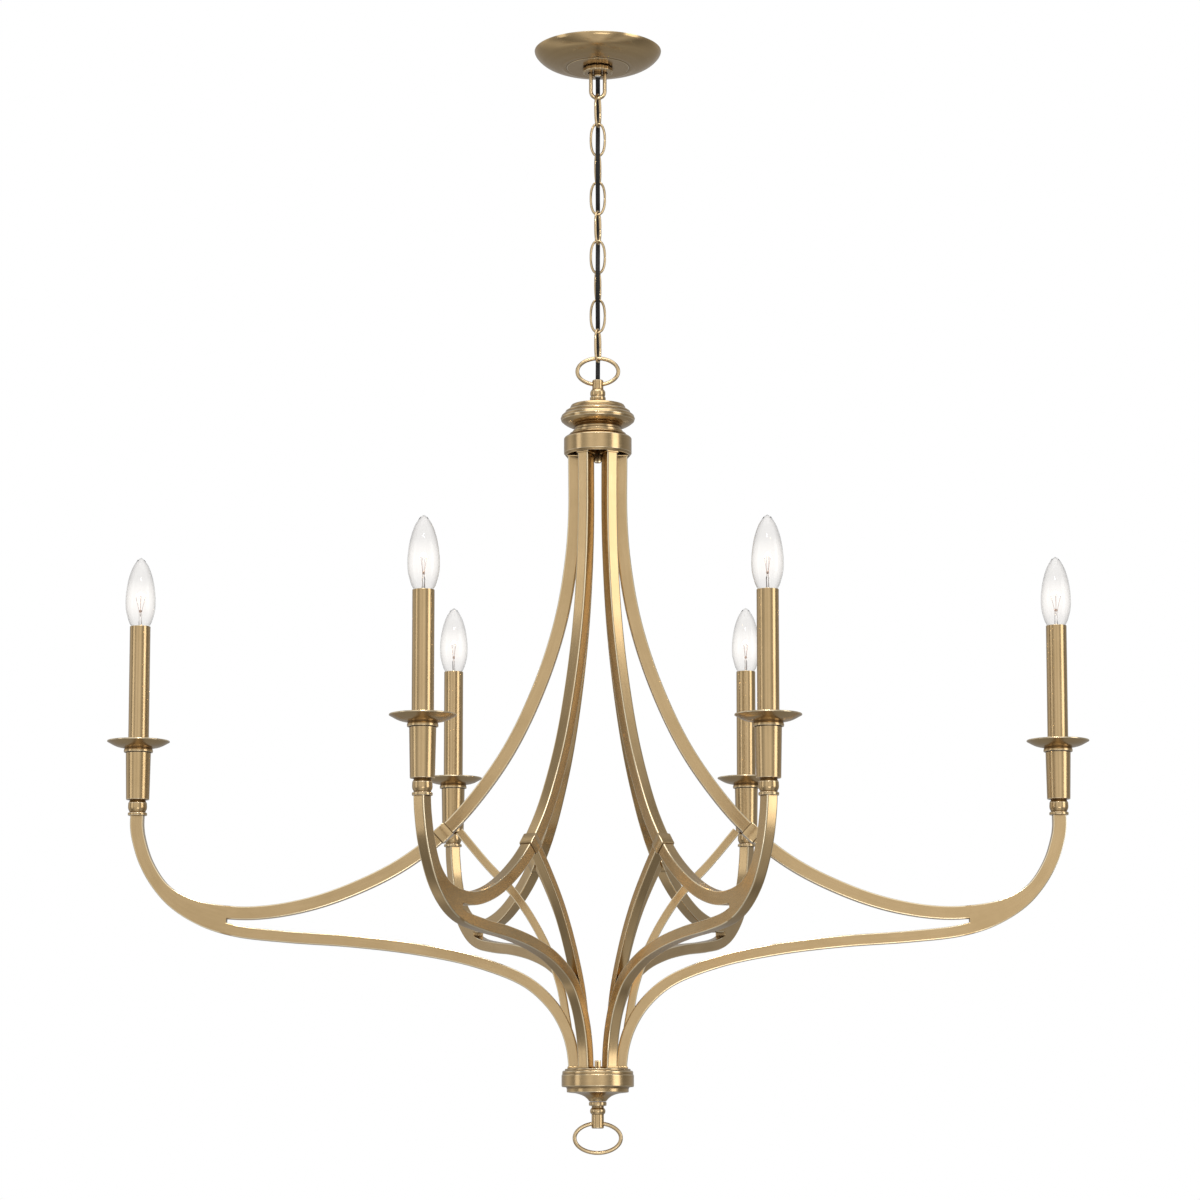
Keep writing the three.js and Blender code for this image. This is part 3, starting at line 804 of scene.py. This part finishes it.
def arm_mesh(name, reach, stem_top, brace, clasp_z):
    """Upper bar, lower bar and brace. The bars run into one web where they meet under the candle."""
    upper_path = reach_to(UPPER_PATH, reach)
    upper_path[-1] = (reach, stem_top)
    upper, lower = catmull(upper_path, 7), catmull(reach_to(LOWER_PATH, reach), 7)
    n_up, n_low = normals(upper), normals(lower)
    outer = [q + m * (LOWER_BAR / 2) for q, m in zip(lower, n_low)]
    inner = [q - m * (LOWER_BAR / 2) for q, m in zip(lower, n_low)]
    gaps = [crossing(p, n, inner) if p.x > reach * 0.6 else None for p, n in zip(upper, n_up)]
    meet = next(i for i, gap in enumerate(gaps) if gap is not None and gap <= FORK_GAP)
    half = UPPER_BAR / 2
    right, left = [], []
    for i, (p, n) in enumerate(zip(upper, n_up)):
        web = max(half, crossing(p, n, outer) or half) if i >= meet else half
        if i == meet:
            right.append(p + n * half)
            left.append(p - n * half)
            web_foot = p + n * web
        right.append(p + n * web)
        left.append(p - n * half)
    shell = Shell()
    shell.ribbon(right, left, BAR_WIDTH, plain=(meet, meet + 1))
    crotch = upper[meet] + n_up[meet] * gaps[meet]
    low_right, low_left = [], []
    for out, into in zip(outer, inner):
        if into.x > crotch.x - 2 or out.x > web_foot.x - 2:
            break
        low_right.append(out)
        low_left.append(into)
    last = len(low_right)
    shell.ribbon([*low_right, web_foot], [*low_left, crotch], BAR_WIDTH, plain=(last - 1, last))
    strut = catmull(brace, 8)
    n_strut = normals(strut)
    shell.ribbon([p + n * (BRACE_BAR / 2) for p, n in zip(strut, n_strut)],
                 [p - n * (BRACE_BAR / 2) for p, n in zip(strut, n_strut)], BAR_WIDTH - 1.2, 0.7)
    at = next(i for i, p in enumerate(upper) if p.y < clasp_z)
    run = upper[at + 1] - upper[at - 1]
    slope = math.atan2(run.y, run.x)
    shell.block(upper[at], slope, CLASP_LENGTH, BAR_WIDTH + CLASP_OVER, UPPER_BAR + CLASP_OVER)
    # A band a little proud of the bar and longer than the clasp, painted dark as the shade along the
    # clasp's ends.
    shell.block(upper[at], slope, SEAM_LENGTH, BAR_WIDTH + SEAM_OVER, UPPER_BAR + SEAM_OVER, 0.3,
                dark=True)
    shell.block((HUB_BAR_R, -448.6), math.pi / 2, 2.6, BAR_WIDTH + 1.8, UPPER_BAR + 1.8, 0.5)
    shell.block((HUB_BAR_R, -1104.2), math.pi / 2, 2.2, BAR_WIDTH + 1.6, LOWER_BAR + 1.8, 0.5)
    return shell.mesh(name, BRASS)


CUP = [[0, -80.2], [10.2, -80.2], [10.2, -77.6], [8.4, -76.4], [9.9, -73], [9.9, -67],
       [8.2, -64], [12.3, -63.2], [13.3, -13], [11.4, -13], [11.4, -60], [0, -60]]
DISH = [[11.4, -12.6], [15.4, -12.6], [15.4, -10.4], [14.6, -8.2], [24, -6], [33.3, -1.2],
        [33, 0], [27, -2.8], [20, -4.8], [11.4, -6], [11.4, -12.6]]
SLEEVE = [[10, -59.6], [10.95, -59.6], [10.95, 123], [10, 123], [10, -59.6]]
HOLDER_BODY = [[0, 72], [9.2, 72], [9.2, 117], [7.2, 117], [7.2, 88], [0, 88]]
GLASS_OUTER = [[5.7, 111], [6.2, 116], [8.6, 121.5], [11.7, 127], [13.8, 133.5], [15.5, 141],
               [16, 150], [15.2, 162], [12.6, 176], [8.3, 188], [3.6, 195.4], [0, 197.5]]


def bulb_glass():
    """Thin glass envelope: the outer wall and, half a millimetre in, the inner one."""
    inner = [(max(r - 0.55, 0), z if r > 6 else z - 0.6) for r, z in GLASS_OUTER]
    inner[0] = (GLASS_OUTER[0][0] - 0.55, 111)
    outline = [*reversed(inner), *GLASS_OUTER]
    outline[0] = (0, 196.9)
    return Shell().lathe(outline, 0.3, 72).mesh("bulb_envelope", GLASS)


def bulb_base():
    shell = threaded(Shell(), 6.1, 95, 108, 0.0, 1.9, 0.55)
    shell.lathe([[0, 107.5], [6.25, 107.5], [6.25, 112.2], [0, 112.2]], 0.5, 48)
    shell.lathe([[0, 91.2], [1.8, 91.2], [3.2, 92.6], [5.2, 95.2], [0, 95.2]], 0.4, 32)
    return shell.mesh("bulb_screw_base", BASE_METAL)


def bulb_stem():
    """Flared glass press that carries the lead wires."""
    outline = [[0, 112.5], [4.4, 112.5], [3.4, 118], [2.2, 124], [1.5, 130], [1.7, 134],
               [1.1, 136.4], [0, 136.8]]
    return Shell().lathe(outline, 0.3, 32).mesh("bulb_stem", GLASS)


def bulb_leads():
    shell = Shell()
    for side in (1, -1):
        shell.tube(catmull([(side * 1.0, 0, 120), (side * 1.2, 0, 130), (side * 1.6, 0, 140),
                            (side * 4.4, 0, 152), (side * 5.2, 0, 156)], 5), 0.22, 8)
        shell.tube(catmull([(0, side * 0.6, 134), (0, side * 0.9, 146),
                            (0, side * 1.6, 157.6)], 5), 0.16, 8, up=(1, 0, 0))
    shell.lathe([[0, 138.2], [1.1, 138.6], [1.5, 139.8], [1.1, 141], [0, 141.4]], 0.2, 20)
    return shell.mesh("bulb_lead_wires", WIRE_METAL)


def bulb_filament():
    """A coil hung in an arc between the two lead wires."""
    points = []
    turns, per_turn = 26, 10
    count = turns * per_turn
    for i in range(count + 1):
        s = i / count
        x = -5.2 + 10.4 * s
        lift = 156 + 3.2 * math.sin(math.pi * s) ** 0.8
        w = 2 * math.pi * turns * s
        points.append((x, 0.5 * math.cos(w), lift + 0.5 * math.sin(w)))
    return Shell().tube(points, 0.16, 6, up=(0.05, 0.2, 1)).mesh("bulb_filament", FILAMENT)


CUP_MESH = Shell().lathe(CUP, 0.45, 64, drawn=True).mesh("cup_turned", BRASS)
DISH_MESH = Shell().lathe(DISH, 0.35, 80).mesh("dish_spun", BRASS)
SLEEVE_MESH = Shell().lathe(SLEEVE, 0.3, 64, drawn=True).mesh("sleeve_tube", BRASS)
SOCKET_MESH = Shell().lathe(HOLDER_BODY, 0.5, 48).mesh("socket_body", SOCKET)
GLASS_MESH, BASE_MESH, STEM_MESH = bulb_glass(), bulb_base(), bulb_stem()
LEAD_MESH, FILAMENT_MESH = bulb_leads(), bulb_filament()
ARM_MESH = {
    True: arm_mesh("long_arm_bars", LONG_REACH, LONG_RIM_Z - CANDLE_DROP, LONG_BRACE, -850),
    False: arm_mesh("short_arm_bars", SHORT_REACH, SHORT_RIM_Z - CANDLE_DROP, SHORT_BRACE, -873),
}
for k in range(1, 7):
    is_long = k % 3 == 1
    reach, rim = (LONG_REACH, LONG_RIM_Z) if is_long else (SHORT_REACH, SHORT_RIM_Z)
    turn = (k - 1) * math.pi / 3
    seat = (reach * math.cos(turn), reach * math.sin(turn), rim)
    piece(f"arm_bars_{k}", ARM_MESH[is_long], "frame", [f"arm_{k}"], turn=turn)
    for name, mesh, body, nodes, slot in (
            ("cup_turned", CUP_MESH, "frame", [f"candle_cup_{k}"], "satin_brass"),
            ("dish_spun", DISH_MESH, "frame", [f"drip_dish_{k}"], "satin_brass"),
            ("sleeve_tube", SLEEVE_MESH, "frame", [f"candle_sleeve_{k}"], "satin_brass"),
            ("socket_body", SOCKET_MESH, "frame", [f"lamp_socket_{k}"], "socket_plastic"),
            ("bulb_envelope", GLASS_MESH, f"lamp_{k}", [f"bulb_{k}"], "clear_glass"),
            ("bulb_screw_base", BASE_MESH, f"lamp_{k}", (), None),
            ("bulb_stem", STEM_MESH, f"lamp_{k}", (), "clear_glass"),
            ("bulb_lead_wires", LEAD_MESH, f"lamp_{k}", (), None),
            ("bulb_filament", FILAMENT_MESH, f"lamp_{k}", (), None)):
        piece(f"{name}_{k}", mesh, body, nodes, seat, turn)


# ---- floor and light, in metres ----
FLOOR_Z, FLOOR_R = -1.95, 7.0


def pale_floor():
    mesh = bpy.data.meshes.new("floor")
    count = 96
    bearings = [2 * math.pi * i / count for i in range(count)]
    ring = [(FLOOR_R * math.cos(a), FLOOR_R * math.sin(a), FLOOR_Z) for a in bearings]
    mesh.from_pydata(ring, [], [tuple(range(count))])
    m = Nodes("pale_floor")
    tone = m.noise(m.node("ShaderNodeTexCoord").outputs["Object"], 3.0, 3.0)
    m.link(m.blend(tone, (0.86, 0.86, 0.855, 1), (0.9, 0.9, 0.895, 1)), "Base Color")
    m.shader.inputs["Roughness"].default_value = 0.9
    mesh.materials.append(m.material)
    floor = bpy.data.objects.new("floor", mesh)
    scene.collection.objects.link(floor)
    floor.visible_glossy = False
    floor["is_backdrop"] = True


def softbox(name, at, aim, size, power, colour=(1, 1, 1)):
    data = bpy.data.lights.new(name, "AREA")
    data.shape, data.size, data.size_y = "RECTANGLE", *size
    data.energy, data.color = power, colour
    light = bpy.data.objects.new(name, data)
    light.location = at
    light.rotation_euler = (Vector(aim) - Vector(at)).to_track_quat("-Z", "Y").to_euler()
    light.visible_transmission = False
    scene.collection.objects.link(light)


# from straight down to straight up
ROOM_BY_HEIGHT = ((0.0, 0.78), (0.3, 0.72), (0.42, 0.8), (0.5, 0.95), (0.6, 0.9), (0.75, 1.0),
                  (1.0, 1.0))
# from behind, by the left, the front and the right, to behind again
ROOM_BY_BEARING = ((0.0, 0.36), (0.13, 0.4), (0.2, 0.7), (0.28, 0.26), (0.38, 0.55), (0.43, 0.95),
                   (0.475, 0.75), (0.54, 1.0), (0.61, 0.36), (0.68, 0.7), (0.75, 0.24),
                   (0.86, 0.4), (1.0, 0.36))


def studio():
    """White behind the object and through the glass, a dim graded room in the reflections."""
    world = bpy.data.worlds.new("studio")
    scene.world = world
    world.use_nodes = True
    tree = world.node_tree
    tree.nodes.clear()

    def new(kind, **inputs):
        made = tree.nodes.new("ShaderNode" + kind)
        for key, value in inputs.items():
            tree.links.new(value, made.inputs[int(key[1:])])
        return made

    def ramp(value, stops):
        made = new("ValToRGB", _0=value)
        elements = made.color_ramp.elements
        elements[0].position, elements[1].position = stops[0][0], stops[-1][0]
        for at, _ in stops[1:-1]:
            elements.new(at)
        for element, (_, tone) in zip(elements, stops):
            element.color = (tone, tone, tone, 1)
        return made.outputs[0]

    def turned(value):
        spread = new("MapRange", _0=value)
        spread.inputs[1].default_value, spread.inputs[2].default_value = -math.pi, math.pi
        return spread.outputs[0]

    place, path = new("TexCoord"), new("LightPath")
    split = new("SeparateXYZ", _0=place.outputs["Generated"])
    spread = new("MapRange", _0=split.outputs[2])
    spread.inputs[1].default_value = -1
    to_front = new("Math", _1=split.outputs[1])
    to_front.operation = "SUBTRACT"
    to_front.inputs[0].default_value = 0
    bearing = new("Math", _0=split.outputs[0], _1=to_front.outputs[0])
    bearing.operation = "ARCTAN2"
    graded = new("VectorMath", _0=ramp(spread.outputs[0], ROOM_BY_HEIGHT),
                 _1=ramp(turned(bearing.outputs[0]), ROOM_BY_BEARING))
    graded.operation = "MULTIPLY"
    room, seen = new("Background", _0=graded.outputs[0]), new("Background")
    seen.inputs[0].default_value = (1, 1, 1, 1)
    room.inputs[1].default_value = 1.25
    through = new("Math", _1=path.outputs["Is Transmission Ray"])
    through.operation = "SUBTRACT"
    through.inputs[0].default_value = 1
    mirrored = new("Math", _0=path.outputs["Is Glossy Ray"], _1=through.outputs[0])
    mirrored.operation = "MULTIPLY"
    mix = new("MixShader", _0=mirrored.outputs[0], _1=seen.outputs[0], _2=room.outputs[0])
    new("OutputWorld", _0=mix.outputs[0])


scene.view_settings.view_transform = "Standard"
pale_floor()
studio()
CENTRE = (0, 0, -0.75)
softbox("key_right", (2.9, -1.5, -0.3), CENTRE, (1.4, 2.6), 22, (1, 0.98, 0.95))
softbox("fill_left", (-2.9, -1.2, -0.5), CENTRE, (0.9, 2.6), 8, (0.97, 0.98, 1))
softbox("top", (0, -0.6, 1.6), CENTRE, (2.4, 1.6), 22)
softbox("front_spot", (-0.1, -2.4, 1.1), (0, 0, 0), (0.6, 0.3), 12, (1, 0.97, 0.92))
softbox("front_low", (0.5, -3.4, -2.2), CENTRE, (1.6, 0.8), 10)

low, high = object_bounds()
